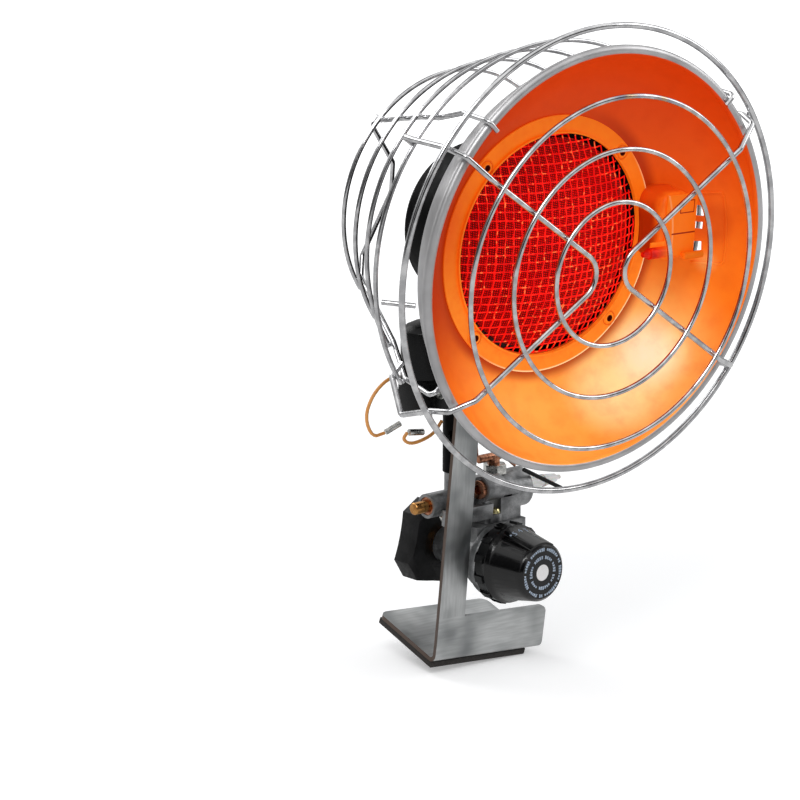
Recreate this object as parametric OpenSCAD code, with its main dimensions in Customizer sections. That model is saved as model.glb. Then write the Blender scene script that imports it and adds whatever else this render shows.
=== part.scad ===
// Tank-top radiant heater: a dished reflector with a screen burner behind a wire guard,
// carried by a steel bracket on a regulator that screws onto a gas cylinder's valve.
// Millimetres. The origin is the mouth of the gas inlet, +Y runs into the cylinder valve,
// -Y is where the heat goes, +Z is up.

/* [Reflector] */
// Outside diameter of the rolled rim
rim_d = 216; // [190:1:250]
// Diameter of the rolled bead
bead_d = 5; // [3:0.5:8]
// Depth from the rim to the flat floor
dish_depth = 39.2; // [34:0.2:46]
// Diameter of the flat floor
floor_d = 136; // [130:1:144]
// Radius of the bowl's curved wall
bowl_r = 50; // [44:1:60]
// Thickness of the reflector sheet
dish_t = 0.8; // [0.6:0.1:1.5]
// Diameter of the sight hole in the left wall
sight_d = 18; // [10:1:22]

/* [Burner] */
// Diameter of the glowing screen that shows
screen_d = 114; // [104:1:118]
// Thickness of each screen
screen_wire = 0.8; // [0.5:0.1:1.2]
// Rise of the screen's dome
dome_h = 15; // [8:0.5:18]
// Pitch of the screen's openings
screen_pitch = 11; // [9:0.5:14]
// Width of the clamping ring around the screen
plate_w = 9; // [7:0.5:10]
// Diameter of the drum behind the screen
drum_d = 82; // [70:1:90]
// Distance from the rim to the back of the drum
drum_back = 106; // [98:1:118]
// Outside diameter of the mixing tube
tube_d = 15; // [12:1:18]
// Wall of the burner's pressings
burner_t = 1.2; // [0.8:0.1:2]

/* [Guard] */
// Centreline diameter of the large front ring
front_ring_d = 235.6; // [232:0.2:250]
// Wire of the front ring
front_wire = 3.2; // [2.4:0.1:4]
// Centreline radius of the outer face ring
face_r1 = 88.8; // [80:0.2:92]
// Centreline radius of the middle face ring
face_r2 = 62.6; // [55:0.2:70]
// Centreline radius of the inner face ring
face_r3 = 36.3; // [30:0.2:44]
// Wire of the face rings
face_wire = 2.6; // [2:0.1:3]
// Wire of the two front cross wires
cross_wire = 3; // [2.4:0.1:3.4]
// Wire of the side rings
side_wire = 2.4; // [2:0.1:3]
// Wire of the two rear frames
frame_wire = 2.6; // [2:0.1:3]

/* [Bracket] */
// Height of the rim's centre above the gas inlet
rim_height = 169; // [160:1:190]
// Reach of the rim in front of the gas inlet
rim_forward = 137.8; // [134:0.2:142]
// How far the head and its bracket face down
head_tilt = 5; // [4:0.5:6]
// How far the head and its bracket turn to the left
head_turn = 4; // [3:0.5:5]
// Thickness of the bracket plate
plate_t = 2.3; // [1.8:0.1:3]
// Width of the upright strip at its foot
strip_w = 17.5; // [15:0.5:18]
// Width of the foot
foot_w = 71.4; // [60:0.2:80]
// Length of the foot behind the bend
foot_l = 46.5; // [36:0.5:52]
// Upward slope of the foot
foot_slope = 11.5; // [5:0.5:18]
// Thickness of the rubber pad under the foot
pad_t = 3.5; // [2:0.5:8]

/* [Regulator and knob] */
// Radius of the knob's front face
knob_face_r = 15.4; // [13:0.2:17]
// Radius of the knob's grip where it meets the skirt
knob_r = 18.6; // [17:0.2:19.4]
// Length of the knob
knob_l = 29; // [25:0.2:29.4]
// Radius of the knob's toothed skirt
skirt_r = 21.4; // [20:0.1:23]
// Radius of the adjusting stem
stem_r = 4; // [3:0.1:5]
// Radius of the regulator housing
housing_r = 16.6; // [15:0.1:17]
// Radius of the front cover
cover_r = 19.6; // [18:0.1:21]
// Thickness of the front cover
cover_t = 4.8; // [3.5:0.1:5]
// Running clearance of a turning shaft
run_gap = 0.08; // [0.04:0.01:0.1]

/* [Inlet] */
// Across-corners radius of the coupling nut
nut_r = 25; // [22:0.5:27]
// Length of the coupling nut
nut_l = 13.4; // [12:0.2:15]
// Radius of the nut's socket
socket_r = 16.7; // [16:0.1:17.5]
// Radius of the inlet's nose
nose_r = 6; // [5:0.1:7]
// Radius of the inlet's stem inside the nut
inlet_stem_r = 8; // [7:0.1:9]

/* [Valve] */
// Height of the push pin's axis above the inlet
pin_z = 31; // [30.5:0.1:33]
// Radius of the push pin
pin_r = 3.2; // [2:0.1:3.4]
// Outside radius of the tube that guides the pin
guide_r = 6.4; // [6:0.1:7]
// Radius of the valve's barrel
barrel_r = 10.4; // [9:0.1:11]

/* [Hidden] */
$fn = 48;
rim_side = -4.4;        // the rim's centre sits this far to the side of the inlet's axis
TINY = 0.05;            // gap between pieces that are welded, screwed or pressed together
rim_r = rim_d / 2;
bead_r = rim_r - bead_d / 2;
wall_r = bead_r - 2.2;  // radius where the bowl meets the bead
floor_r = floor_d / 2;
floor_back = dish_depth + dish_t;
screen_r = screen_d / 2;
hole_r = screen_pitch * 0.36;
screen_z = -1;          // the burner sits a little below the rim's axis
drum_z = -3;
drum_r = drum_d / 2;
screw_r = screen_r + plate_w / 2 - 0.2;
pocket_x = wall_r - 23.3; // the sensor's pocket in the bowl's right wall
screen_y = floor_back + TINY;                  // front of the first screen
inner_y = screen_y + 2 * screen_wire + TINY;   // front of the second screen
cup_y = inner_y + 2 * screen_wire + TINY;      // front of the cup's flange
tube_r = tube_d / 2;
tube_at = [-14, -46];
tube_base = 46.5;
tube_top = rim_height + (rim_forward + tube_at.y) * sin(head_tilt) + drum_z - drum_r + 10;
// Guard: places along the reflector's axis, behind the rim
front_ring_y = 3.5;
front_ring_z = -1;
face_y = -12.6;
face_z = -3.6;
weld_angle = 34.7;      // the cross wires leave the face this far above and below the level
side_y = [43, 68, 92.7, 118];
side_r = [for (inset = [4, 17, 28, 39.2]) rim_r - inset];
side_z = [-2.4, 1, 2, 3];
side_end = 36;          // the side rings stop this far below the level
bend_r = 4;
apex_r = 12;            // where a cross wire turns back near the middle of the face
strut_z = -20;
// Bracket: places in the head's frame
strip_at = 169;         // the rim height that the strip's places were set at
front_y = 62 + (strip_at - rim_height) * sin(head_tilt); // front face of the upright strip
strip_back = front_y + plate_t;
strip_x = -35.5;
flange_h = 19.8;
flange_low = -222.6 + strip_at - rim_height; // where the flange runs into the bend, at its left end
foot_roll = 3.3;        // the foot hangs a little to the right of square
strip_top = -48;
bend_out = plate_t + 2;
stud_z = -149.5 + strip_at - rim_height;
stud_x = [-21, -29];
boss_x = [-21.5, -29.5];
boss_z = strip_top - 4;
// Regulator and valve: places along the inlet's axis
knob_face = -96.4;
cover_y = -66.1;
housing_y = cover_y + cover_t + 0.6;
housing_back = -36;
flat_z = 18.5;          // the valve body bolts down on this flat
hub_r = 9.8;
hub_end = -22.6;
nut_back = -8;          // the nut's mouth
screw_at = [[2, -57], [12.5, -53.5]];
pin_y = -46;
pin_tip = -44;
guide_end = -35;
barrel_x = [-6, 30.5];
gallery_y = -55.8;
gallery_z = 37;
outlet_r = 6.6;
can_at = [-35, -43];
can_r = 11.5;
can_z = 99;
// Cord routes, chosen points
LEAD_D = 1.8;
can_lead = [[-45, -36, 99], [-53, -36, 99], [-63, -36, 92], [-68, -36, 81], [-63, -36, 70], [-55, -36, 71]];
loop_lead = [
    [-22.7, -44, 74], [-27, -43, 68], [-34, -42, 65], [-42, -41, 64], [-46, -40, 67], [-43, -40, 70]
];
copper_lead = [[-18, -54.6, 66], [-13, -55, 63], [-7, -53, 60], [-3, -49, 56], [-0.6, -46.5, 52.5]];
copper_tail = [[17, -46, 50], [20, -46, 48], [23, -47, 45], [25, -48, 43]];

// ---------- helpers ----------

// Places what follows in the head's frame: at the rim's centre, with +Y straight back from the rim.
module at_rim() {
    translate([rim_side, -rim_forward, rim_height])
        rotate([head_tilt, 0, 0]) rotate([0, 0, -head_turn]) children();
}

// Turns a profile drawn as (radius, distance back) about the reflector's axis.
module turned() {
    rotate([-90, 0, 0]) rotate_extrude(convexity = 6) children();
}

// A straight round bar between two points.
module rod(p, q, d) {
    v = q - p;
    translate(p)
        rotate([0, acos(v.z / norm(v)), atan2(v.y, v.x)])
            cylinder(d = d, h = norm(v));
}

function unit(v) = v / norm(v);
function turn_at(p, i) = acos(unit(p[i] - p[i - 1]) * unit(p[i + 1] - p[i]));

// A route with each inner corner rounded to the bend radius, or to its own where r is a list.
function bent(p, radii) = concat(
    [p[0]],
    [for (i = [1 : len(p) - 2])
        let (
            r = is_list(radii) ? radii[i] : radii,
            t = turn_at(p, i),
            u = unit(p[i] - p[i - 1]),
            v = unit(p[i + 1] - p[i]),
            side = (v - u * cos(t)) / sin(t),
            c = p[i] - u * r * tan(t / 2) + side * r,
            steps = ceil(t / 14) + 1
        )
        each [for (k = [0 : steps]) c - side * r * cos(t * k / steps) + u * r * sin(t * k / steps)]],
    [p[len(p) - 1]]
);

// A side vector carried along a route without twisting about it.
function heading(p, i) = unit(p[min(i + 1, len(p) - 1)] - p[max(i - 1, 0)]);
function square_to(s, w) = unit(s - (s * w) * w);
function sides(p) = [
    for (i = 0, s = square_to([0.31, 0.52, 0.8], heading(p, 0));
        i < len(p);
        i = i + 1, s = square_to(s, heading(p, min(i, len(p) - 1)))) s
];

// A round section swept along a route as one skin of n sides.
module sweep(p, d, n) {
    m = len(p);
    side = sides(p);
    polyhedron(
        points = [
            for (i = [0 : m - 1])
                let (w = heading(p, i), s = square_to(side[i], w), t = cross(w, s))
                for (k = [0 : n - 1]) p[i] + (s * cos(360 * k / n) + t * sin(360 * k / n)) * d / 2
        ],
        faces = concat(
            [[for (k = [0 : n - 1]) k]],
            [for (i = [0 : m - 2], k = [0 : n - 1])
                [i * n + k, (i + 1) * n + k, (i + 1) * n + (k + 1) % n, i * n + (k + 1) % n]],
            [[for (k = [n - 1 : -1 : 0]) (m - 1) * n + k]]
        ),
        convexity = 8
    );
}

// A round wire bent at each inner point of its path.
module wire(path, d, r = bend_r) {
    sweep(bent(path, r), d, 12);
}

// A full ring of round wire about the reflector's axis.
module ring(r, d) {
    turned() translate([r, 0]) circle(d = d);
}

// A point at an angle on a circle about the reflector's axis.
function polar(r, a, y, z = 0) = [r * cos(a), y, z + r * sin(a)];

// Rounds a route by cutting its corners, twice over.
function cut_corners(p) = concat(
    [p[0]],
    [for (i = [0 : len(p) - 2]) each [p[i] * 0.75 + p[i + 1] * 0.25, p[i] * 0.25 + p[i + 1] * 0.75]],
    [p[len(p) - 1]]
);

// A flexible lead along its route.
module lead(route, d) {
    sweep(cut_corners(cut_corners(route)), d, 8);
}

// A hexagonal bar, its size across the flats.
module hex_bar(af, h) {
    cylinder(d = af / cos(30), h = h, $fn = 6);
}

// ---------- reflector and burner ----------

// Centre of the bowl's arc, in (radius, distance back).
function bowl_centre() =
    let (
        a = [wall_r, 1],
        b = [floor_r, dish_depth],
        mid = (a + b) / 2,
        run = b - a,
        lift = sqrt(bowl_r * bowl_r - run * run / 4)
    )
    mid + lift * [-run.y, run.x] / norm(run);

// Radius of the bowl's outside at a distance back.
function bowl_outside(y) =
    let (c = bowl_centre()) c.x + sqrt(pow(bowl_r + dish_t, 2) - pow(y - c.y, 2));

module bowl_profile() {
    c = bowl_centre();
    translate([bead_r, 0]) circle(d = bead_d);
    translate([screen_r + 0.4, dish_depth]) square([floor_r - screen_r, dish_t]);
    intersection() {
        difference() {
            translate(c) circle(r = bowl_r + dish_t, $fn = 160);
            translate(c) circle(r = bowl_r, $fn = 160);
        }
        translate([floor_r, 0.5]) square([wall_r + 2 - floor_r, dish_depth + dish_t]);
    }
}

// The slots of the sensor pocket, in the right wall.
module pocket_slots() {
    for (slot = [[-12.3, 6.3], [0.5, 3.7], [7.4, 5.6]])
        translate([pocket_x, 12, slot[0]]) cube([11.2, 40, slot[1]]);
}

module reflector_dish() {
    color("orangered") at_rim() difference() {
        turned() bowl_profile();
        translate([-84, 31, -4]) rotate([-90, 0, 37]) translate([0, 0, -12]) cylinder(d = sight_d, h = 24);
        pocket_slots();
        for (a = [45 : 90 : 315])
            translate(polar(screw_r, a, dish_depth - 1, screen_z)) rotate([-90, 0, 0])
                cylinder(r = 2.2, h = 4);
    }
}

module burner_plate() {
    color("orange") at_rim() translate([0, 0, screen_z]) difference() {
        turned() {
            translate([screen_r, dish_depth - 0.05 - dish_t]) square([plate_w, dish_t]);
            translate([screen_r, dish_depth - 2.4]) square([dish_t, 2.3]);
        }
        for (a = [45 : 90 : 315])
            translate(polar(screw_r, a, dish_depth - 4)) rotate([-90, 0, 0]) cylinder(r = 2.2, h = 5);
    }
}

module burner_eyelets() {
    color("darkorange") at_rim() translate([0, 0, screen_z])
        for (a = [45 : 90 : 315])
            translate(polar(screw_r, a, dish_depth - dish_t - 0.1)) rotate([-90, 0, 0]) difference() {
                union() {
                    translate([0, 0, -1]) cylinder(r1 = 2.6, r2 = 3.4, h = 1);
                    cylinder(r = 2.1, h = cup_y + burner_t - dish_depth + 2);
                }
                translate([0, 0, -2]) cylinder(r = 1.5, h = 12);
            }
}

// A domed screen that bulges to the front, open in a grid, with a flat rim to clamp.
module screen(y, edge_r) {
    dome_r = (edge_r * edge_r + dome_h * dome_h) / (2 * dome_h);
    n = floor(screen_r / screen_pitch);
    translate([0, 0, screen_z]) difference() {
        turned() {
            translate([edge_r - 2, y]) square([screen_r + 3.4 - edge_r, 2 * screen_wire]);
            intersection() {
                translate([0, y + dome_r - dome_h]) difference() {
                    circle(r = dome_r, $fn = 160);
                    circle(r = dome_r - screen_wire, $fn = 160);
                }
                translate([0, y - dome_h - 1]) square([edge_r - 1, dome_h + 2]);
            }
        }
        for (i = [-n : n], k = [-n : n]) {
            at = [i, k] * screen_pitch;
            if (norm(at) < edge_r - 8)
                translate([at.x, y - dome_h - 1, at.y]) rotate([-90, 0, 0]) cylinder(r = hole_r, h = dome_h);
        }
    }
}

module outer_screen() {
    color("red") at_rim() difference() {
        screen(screen_y, screen_r);
        eyelet_holes(screen_y);
    }
}

module inner_screen() {
    color("darkred") at_rim() difference() {
        screen(inner_y, screen_r - 3);
        eyelet_holes(inner_y);
    }
}

module eyelet_holes(y) {
    for (a = [45 : 90 : 315])
        translate(polar(screw_r, a, y - 2, screen_z)) rotate([-90, 0, 0]) cylinder(r = 2.2, h = 8);
}

module cup_profile(t) {
    polygon([
        [0, 20], [screen_r - t, 20], [screen_r - t, cup_y + 8], [drum_r - t, cup_y + 22],
        [drum_r - t, drum_back - 3], [drum_r - 2 - t, drum_back - t], [0, drum_back - t]
    ]);
}

module burner_cup() {
    color("#202020") difference() {
        at_rim() union() {
            translate([0, 0, drum_z]) turned() {
                translate([screen_r - burner_t, cup_y]) square([floor_r - screen_r, burner_t]);
                intersection() {
                    cup_profile(0);
                    translate([0, cup_y]) square([screen_r, drum_back]);
                }
            }
            for (x = boss_x)
                translate([x, cup_y + 2, boss_z]) rotate([-90, 0, 0])
                    cylinder(r = 3.4, h = front_y - cup_y - 2 - TINY);
        }
        at_rim() {
            translate([0, 0, drum_z]) turned() cup_profile(burner_t);
            eyelet_holes(cup_y);
            for (x = boss_x)
                translate([x, cup_y + 8, boss_z]) rotate([-90, 0, 0]) cylinder(r = 1.6, h = 40);
        }
        translate([tube_at.x, tube_at.y, tube_base])
            cylinder(r = tube_r + TINY, h = tube_top - tube_base + 2);
    }
}

module diffuser_plate() {
    color("dimgray") at_rim() translate([0, cup_y + 5, drum_z]) rotate([-90, 0, 0]) difference() {
        cylinder(r = screen_r - burner_t - 1, h = 1);
        for (a = [0 : 30 : 330], r = [20, 38])
            rotate(a) translate([r, 0, -1]) cylinder(r = 3, h = 3);
    }
}

module mixing_tube() {
    color("#181818") translate([tube_at.x, tube_at.y, tube_base]) difference() {
        cylinder(r = tube_r, h = tube_top - tube_base);
        translate([0, 0, -1]) cylinder(r = tube_r - 1.5, h = 120);
        for (a = [28 : 90 : 298])
            rotate(a) translate([0, 0, 20.5]) rotate([0, 90, 0]) cylinder(r = 2.4, h = tube_r + 2);
    }
}

module gas_jet() {
    color("goldenrod") translate([tube_at.x, tube_at.y, tube_base + 4 + TINY]) difference() {
        union() {
            hex_bar(9, 5);
            translate([0, 0, 5]) cylinder(r1 = 3.6, r2 = 2, h = 4);
        }
        translate([0, 0, -1]) cylinder(r = 0.8, h = 12);
    }
}

// A bent strip behind the slots, with an arm that reaches in front of the screen.
module sensor_bracket() {
    color("orange") at_rim() {
        translate([pocket_x - 19, 20, -10]) cube([20, 1.2, 32]);
        translate([pocket_x - 1, 20, -8]) cube([1.2, 11.7, 24]);
        translate([pocket_x - 28, 20, -10]) cube([10, 1.2, 8.4]);
    }
}

module sensor_screw() {
    color("silver") at_rim() translate([pocket_x + 5, 18, -10]) rotate([0, -90, 0]) {
        cylinder(r = 1.9, h = 13);
        hex_bar(5.5, 2.6);
    }
}

module thermocouple() {
    color("darkred") at_rim() {
        rod([pocket_x - 20, 17, -6], [pocket_x - 32, 17, -6], 6 - 2 * TINY);
        translate([pocket_x - 32, 17, -6]) rotate([0, -90, 0]) cylinder(r1 = 2.2, r2 = 1.4, h = 4);
    }
}

// ---------- guard ----------

module front_ring() {
    color("lightgray") at_rim() translate([0, front_ring_y, front_ring_z]) ring(front_ring_d / 2, front_wire);
}

module face_ring(r) {
    color("silver") at_rim() translate([0, face_y, face_z]) ring(r, face_wire);
}

module face_ring_outer() { face_ring(face_r1); }
module face_ring_middle() { face_ring(face_r2); }
module face_ring_inner() { face_ring(face_r3); }

// One front cross wire: from a side ring over the front ring, in a vee across the face, and back.
module cross_path(side) {
    y = face_y + (face_wire + cross_wire) / 2 + TINY;
    front_r = front_ring_d / 2 - (front_wire + cross_wire) / 2 - 0.3;
    over_r = side_r[0] + (side_wire + cross_wire) / 2 + 1.2;
    hook_y = side_y[0] + (side_wire + cross_wire) / 2 + 2;
    low_hook_y = hook_y - 1.9;
    function spoke(r, up, back, mid = front_ring_z) =
        [side * r * cos(weld_angle), back, mid + up * r * sin(weld_angle)];
    wire([
        spoke(over_r - 7, 1, hook_y),
        spoke(over_r, 1, hook_y),
        spoke(over_r, 1, side_y[0] - 3),
        spoke(front_r, 1, front_ring_y + 3),
        spoke(front_r - 3.6, 1, -4.4),
        spoke(front_r - 18, 1, y, face_z),
        [0, y, face_z],
        spoke(front_r - 18, -1, y, face_z),
        spoke(front_r - 3.6, -1, -4.4),
        spoke(front_r, -1, front_ring_y + 3),
        [side * 93, 30, -75],
        [side * 88, low_hook_y, -60],
        [side * 82, low_hook_y, -54]
    ], cross_wire, [for (i = [0 : 12]) i == 6 ? apex_r : 2.9]);
}

module cross_wire_right() { color("silver") at_rim() cross_path(1); }
module cross_wire_left() { color("silver") at_rim() cross_path(-1); }

module side_ring(i) {
    color("silver") at_rim() translate([0, side_y[i], side_z[i]])
        rotate([90, 0, 0]) rotate(-side_end) rotate_extrude(angle = 180 + 2 * side_end)
            translate([side_r[i], 0]) circle(d = side_wire);
}

module side_ring_1() { side_ring(0); }
module side_ring_2() { side_ring(1); }
module side_ring_3() { side_ring(2); }
module side_ring_4() { side_ring(3); }

// One rear frame: hooked over the rim above, welded inside the side rings, and let in to the
// bowl's outside below.
module rear_frame(side) {
    inset = (side_wire + frame_wire) / 2 + 0.75;
    behind = side_r[3] - inset - 1;
    function rib(i, a) =
        [side * (side_r[i] - inset) * cos(a), side_y[i], side_z[i] + (side_r[i] - inset) * sin(a)];
    hook_r = rim_r + frame_wire / 2 + 0.5;
    hook_y = -(bead_d + frame_wire) / 2 - TINY;
    foot_y = 16;
    foot_r = bowl_outside(foot_y) + 0.5;
    function at(r, a, y) = [side * r * cos(a), y, r * sin(a)];
    wire([
        at(wall_r - 0.5, 45, hook_y),
        at(hook_r, 45, hook_y),
        at(hook_r, 45, 16),
        rib(0, 45), rib(1, 45), rib(2, 45), rib(3, 45),
        [side * behind * cos(45), 122.6, side_z[3] + behind * sin(45)],
        [side * 57, 124.5, 56],
        [side * 35, 124, 25],
        [side * 35, 124, 10],
        [side * 52, 123, -22],
        rib(3, -side_end + 4), rib(2, -side_end + 1), rib(1, -side_end), rib(0, -side_end),
        at(foot_r + 7, -side_end, foot_y),
        at(foot_r, -side_end, foot_y)
    ], frame_wire, 3);
}

module rear_frame_right() { color("silver") at_rim() rear_frame(1); }
module rear_frame_left() { color("silver") at_rim() rear_frame(-1); }

module side_struts() {
    color("gray") at_rim() for (side = [-1, 1])
        rod([side * 100, side_y[0] - 1, strut_z], [side * 88.8, 29.5, strut_z], frame_wire);
}

// ---------- bracket ----------

module strip_outline() {
    top_w = 14.5;
    foot_z = flange_low + flange_h;
    polygon([
        [strip_x + 0.4, flange_low + 5], [strip_x + strip_w, foot_z - 8],
        [strip_x + strip_w + 1.5, strip_top], [strip_x + strip_w + 1.5 - top_w, strip_top]
    ]);
}

// The bent plate seen along its bend: up the flange, round the bend and back along the foot.
module bent_profile() {
    arc = [for (i = [0 : 8]) 180 + (90 + foot_slope) * i / 8];
    along = [cos(foot_slope), sin(foot_slope)];
    up = [-sin(foot_slope), cos(foot_slope)];
    inside = bend_out - plate_t;
    polygon(concat(
        [[-inside, flange_h], [-bend_out, flange_h]],
        [for (a = arc) bend_out * [cos(a), sin(a)]],
        [along * foot_l - up * bend_out, along * foot_l - up * inside],
        [for (i = [8 : -1 : 0]) inside * [cos(arc[i]), sin(arc[i])]]
    ));
}

// What is cut from a square rear corner to round it.
module corner_cut(r, side) {
    difference() {
        translate([side > 0 ? -1 : -r, -r]) square([r + 1, r + 1]);
        translate([side * r, -r]) circle(r = r);
    }
}

// At the centre of the bend's left end, with +X along the bend.
module at_bend() {
    at_rim() translate([strip_x, front_y + bend_out, flange_low]) rotate([0, foot_roll, 0]) children();
}

// The foot's own frame: the bend's, with +Y up the foot's slope.
module at_foot() {
    at_bend() rotate([foot_slope, 0, 0]) children();
}

module support_bracket() {
    color("silver") {
        at_rim() {
            difference() {
                translate([0, strip_back, 0]) rotate([90, 0, 0]) linear_extrude(plate_t) strip_outline();
                for (x = boss_x)
                    translate([x, front_y - 1, boss_z]) rotate([-90, 0, 0]) cylinder(r = 1.7, h = 5);
            }
            for (x = stud_x)
                translate([x, strip_back - 0.2, stud_z]) rotate([-90, 0, 0]) cylinder(r = 1.95, h = 7);
        }
        difference() {
            at_bend() rotate([90, 0, 90]) linear_extrude(foot_w) bent_profile();
            at_bend() translate([foot_w, 1, flange_h]) rotate([90, 0, 0]) linear_extrude(9) corner_cut(4, -1);
            at_foot() translate([0, foot_l, -bend_out - 1]) linear_extrude(plate_t + 2) {
                corner_cut(5, 1);
                translate([foot_w, 0]) corner_cut(5, -1);
            }
        }
    }
}

module bracket_screws() {
    color("lightgray") at_rim() for (x = boss_x)
        translate([x, strip_back + TINY, boss_z]) rotate([-90, 0, 0]) {
            cylinder(r = 3.2, h = 2);
            translate([0, 0, -9]) cylinder(r = 1.5, h = 9.5);
        }
}

module bracket_nuts() {
    color("lightgray") at_rim() for (x = stud_x)
        translate([x, strip_back + 3 + 2 * TINY, stud_z]) rotate([-90, 0, 0]) difference() {
            hex_bar(6.6, 2.8);
            translate([0, 0, -1]) cylinder(r = 2, h = 5);
        }
}

module foot_pad() {
    color("#222222") at_foot()
        translate([0.5, -2, -bend_out - pad_t - TINY]) cube([foot_w - 8.5, foot_l + 1, pad_t]);
}

// ---------- regulator ----------

module along_inlet(y) {
    translate([0, y, 0]) rotate([-90, 0, 0]) children();
}

module regulator_body() {
    neck_y = 6;
    neck_r = 12.8;
    color("gray") difference() {
        union() {
            along_inlet(housing_y) cylinder(r = housing_r, h = neck_y);
            along_inlet(housing_y + neck_y) cylinder(r1 = housing_r, r2 = neck_r, h = 4);
            along_inlet(housing_y + neck_y) cylinder(r = neck_r, h = housing_back - housing_y - neck_y);
            translate([-13, housing_y, 6]) cube([34, 22, flat_z - 6]);
            along_inlet(housing_back - 4) cylinder(r = hub_r, h = hub_end - housing_back + 4);
        }
        along_inlet(housing_y - 1) cylinder(r = housing_r - 3, h = neck_y);
        along_inlet(housing_y + neck_y - 2) cylinder(r = 3, h = 50);
        along_inlet(hub_end - 5) cylinder(r = inlet_stem_r - 1, h = 10);
        translate([-2, housing_y + 9, 0]) cylinder(r = 2, h = 28);
        for (p = screw_at) translate([p.x, p.y, flat_z - 6]) cylinder(r = 1.7, h = 12);
    }
}

module diaphragm() {
    color("saddlebrown") along_inlet(housing_y - 0.6 + TINY) difference() {
        cylinder(r = housing_r, h = 0.6 - 2 * TINY);
        translate([0, 0, -1]) cylinder(r = 1.5, h = 3);
    }
}

module front_cover() {
    color("darkgray") along_inlet(cover_y) difference() {
        union() {
            cylinder(r1 = cover_r - 0.8, r2 = cover_r, h = 0.8);
            translate([0, 0, 0.8]) cylinder(r = cover_r, h = cover_t - 0.8);
        }
        translate([0, 0, -1]) cylinder(r = stem_r + run_gap, h = cover_t + 2);
        translate([0, 0, 2]) cylinder(r = stem_r + 4, h = cover_t);
    }
}

// A flat-sided stem, with a collar inside the cover.
module adjusting_stem() {
    reach = cover_y - knob_face - 6;
    color("goldenrod") along_inlet(knob_face + 6) difference() {
        union() {
            cylinder(r = stem_r, h = reach + 4.4);
            translate([0, 0, reach + 2.4]) cylinder(r = stem_r + 2, h = 2);
        }
        translate([-10, stem_r - 1.2, -1]) cube([20, 10, 16]);
    }
}

module control_knob() {
    skirt_l = 9;
    edge = 1.6;
    color("#101010") along_inlet(knob_face) difference() {
        union() {
            cylinder(r1 = knob_face_r - edge, r2 = knob_face_r, h = edge);
            translate([0, 0, edge]) cylinder(r1 = knob_face_r, r2 = knob_r, h = knob_l - skirt_l - edge);
            translate([0, 0, knob_l - skirt_l]) cylinder(r1 = knob_r, r2 = skirt_r - 0.8, h = 2);
            translate([0, 0, knob_l - skirt_l + 2]) cylinder(r = skirt_r - 0.8, h = skirt_l - 2);
            // the raised pad that carries the scale
            intersection() {
                translate([-8, -knob_r - 1, edge / 2]) cube([16, 12, knob_l - skirt_l + edge / 2]);
                cylinder(r1 = knob_face_r + 0.2, r2 = knob_r + 1, h = knob_l - skirt_l + edge);
            }
            // square teeth around the skirt's back edge
            for (a = [15 : 30 : 345])
                rotate(a) translate([skirt_r - 3, -2, knob_l - 5.6]) cube([3, 4, 5.6]);
        }
        translate([0, 0, 5]) difference() {
            cylinder(r = knob_face_r - 2.2, h = knob_l);
            cylinder(r = stem_r + 3, h = knob_l - 10);
        }
        translate([0, 0, 6 - TINY]) difference() {
            cylinder(r = stem_r + TINY, h = knob_l);
            translate([-10, stem_r - 1.2 + TINY, 0]) cube([20, 10, 14]);
        }
        translate([0, 0, -1]) cylinder(r = 4.3, h = 1.6);
    }
}

module knob_dot() {
    color("white") along_inlet(knob_face + 0.1) cylinder(r = 4.25, h = 0.5 - TINY);
}

// ---------- inlet ----------

module coupling_nut() {
    flat = nut_r * cos(31);
    color("#151515") along_inlet(nut_back - nut_l) difference() {
        intersection() {
            rotate(13.5) translate([-flat, -flat, 0]) cube([2 * flat, 2 * flat, nut_l]);
            rotate(-31.5) translate([-nut_r * cos(14), -nut_r * cos(14), 0])
                cube([2 * nut_r * cos(14), 2 * nut_r * cos(14), nut_l]);
            cylinder(r1 = nut_r - 2.6, r2 = nut_r + 2.4 * nut_l / 2.6, h = nut_l);
        }
        // hollow grips
        for (a = [13.5 : 90 : 290])
            rotate(a) translate([flat + 89, 0, -1]) cylinder(r = 90, h = nut_l + 2, $fn = 180);
        translate([0, 0, -1]) cylinder(r = 13.5, h = 2.2);
        translate([0, 0, -1]) cylinder(r = inlet_stem_r + run_gap, h = nut_l);
        translate([0, 0, 4]) cylinder(r = socket_r, h = nut_l);
    }
}

module inlet_nipple() {
    collar = nut_back - nut_l + 4.2;
    color("goldenrod") difference() {
        union() {
            along_inlet(hub_end + TINY) cylinder(r = inlet_stem_r, h = collar - hub_end);
            along_inlet(collar) cylinder(r = socket_r - 3.5, h = 2.6);
            along_inlet(collar + 2.5) cylinder(r = 9, h = 3);
            along_inlet(collar + 5.4) cylinder(r1 = 9, r2 = nose_r, h = nut_back - collar - 5.4);
            along_inlet(nut_back - 0.1) cylinder(r = nose_r, h = 0.1 - nut_back);
        }
        along_inlet(hub_end - 5) cylinder(r = 2.6, h = 40);
    }
}

module inlet_seal() {
    color("black") along_inlet(nut_back - 5.2) difference() {
        cylinder(r = 10.4, h = 1.2);
        translate([0, 0, -1]) cylinder(r = 9 + TINY, h = 4);
    }
}

// ---------- valve ----------

module along_pin(x) {
    translate([x, pin_y, pin_z]) rotate([0, 90, 0]) children();
}

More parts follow.
